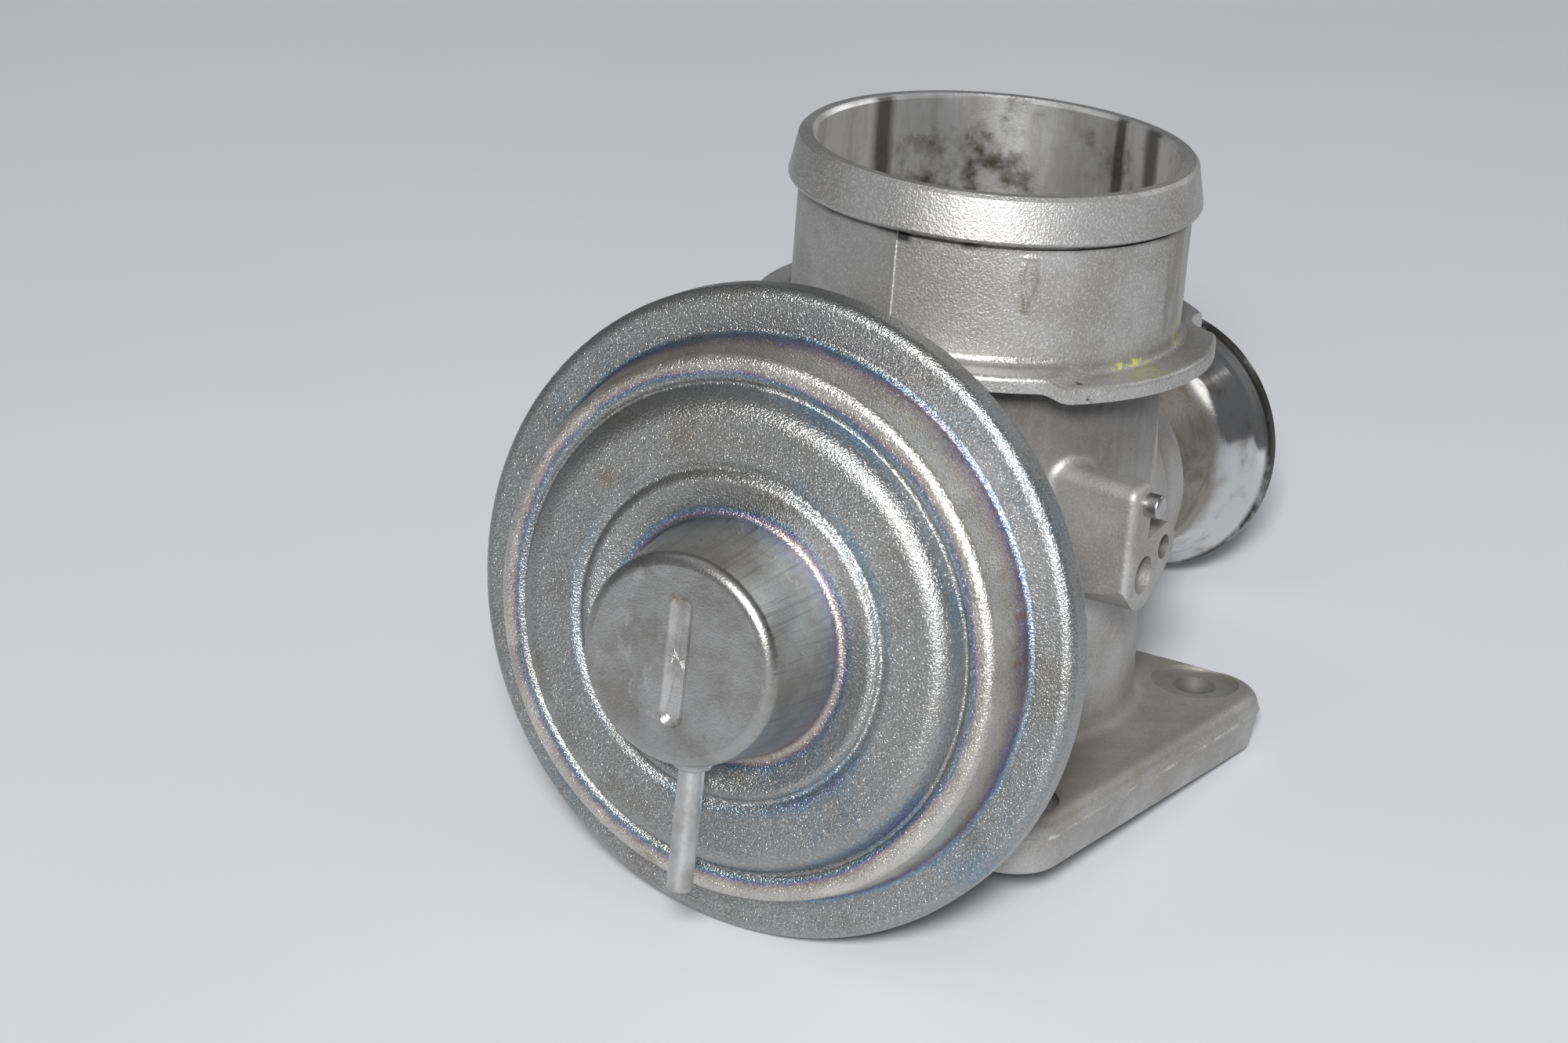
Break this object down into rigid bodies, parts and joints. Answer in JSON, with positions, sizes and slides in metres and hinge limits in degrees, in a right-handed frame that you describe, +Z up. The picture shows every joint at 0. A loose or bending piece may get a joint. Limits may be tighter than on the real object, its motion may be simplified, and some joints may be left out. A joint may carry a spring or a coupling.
{
  "type": "egr valve",
  "caption": "Vacuum-operated exhaust gas recirculation valve: cast throat with hose spigot and base flange, round diaphragm actuator in front, flared exhaust inlet pipe behind.",
  "frame": {"origin": "centre of the outlet bore on the base flange's underside", "axes": "+Z up along the hose spigot; -Y towards the diaphragm actuator; +Y towards the exhaust inlet pipe; +X towards the side pad"},
  "size_m": [0.1008, 0.1729, 0.111],
  "materials": {
    "cast_aluminium": "blasted cast aluminium, satin, with grime in the corners",
    "zinc_steel": "zinc-plated drawn steel with blue and yellow passivation tints",
    "plain_steel": "plain bright steel",
    "black_rubber": "fabric-backed rubber",
    "green_rubber": "dark seal rubber",
    "spring_steel": "spring steel wire",
    "seat_steel": "heat-stained stainless steel",
    "graphite": "graphite and PTFE",
    "polished_steel": "polished stainless steel",
    "bronze": "sintered bronze",
    "gasket_fibre": "pressed fibre gasket",
    "screw_steel": "zinc-plated screw steel",
    "stem_steel": "ground stainless steel with soot",
    "plate_steel": "zinc-plated plate"
  },
  "bodies": {
    "valve_body": {"valve_housing": "cast_aluminium", "diaphragm_cover": "zinc_steel", "vacuum_nipple": "plain_steel", "rear_cup": "zinc_steel", "diaphragm": "black_rubber", "return_spring": "spring_steel", "seat_ring": "seat_steel", "pipe_seal": "graphite", "inlet_pipe": "polished_steel", "guide_bush": "bronze", "stem_seal": "graphite", "scraper_ring": "bronze", "heat_gasket": "gasket_fibre", "mounting_screws": "screw_steel", "base_o_ring": "green_rubber", "pad_pin": "plain_steel"},
    "stem_assembly": {"valve_stem": "stem_steel", "valve_poppet": "seat_steel", "poppet_nut": "screw_steel", "stem_nut": "screw_steel", "piston_cup": "plate_steel", "rear_plate": "plate_steel", "spring_seat": "plate_steel"}
  },
  "joints": [
    {"name": "valve_lift", "type": "slide", "parent": "valve_body", "child": "stem_assembly", "axis": [0, -0.998, 0.0638], "range_m": [0, 0.008], "stiffness_N_per_m": 3000, "springref_m": -0.015, "deforming": ["return_spring", "diaphragm"]}
  ]
}
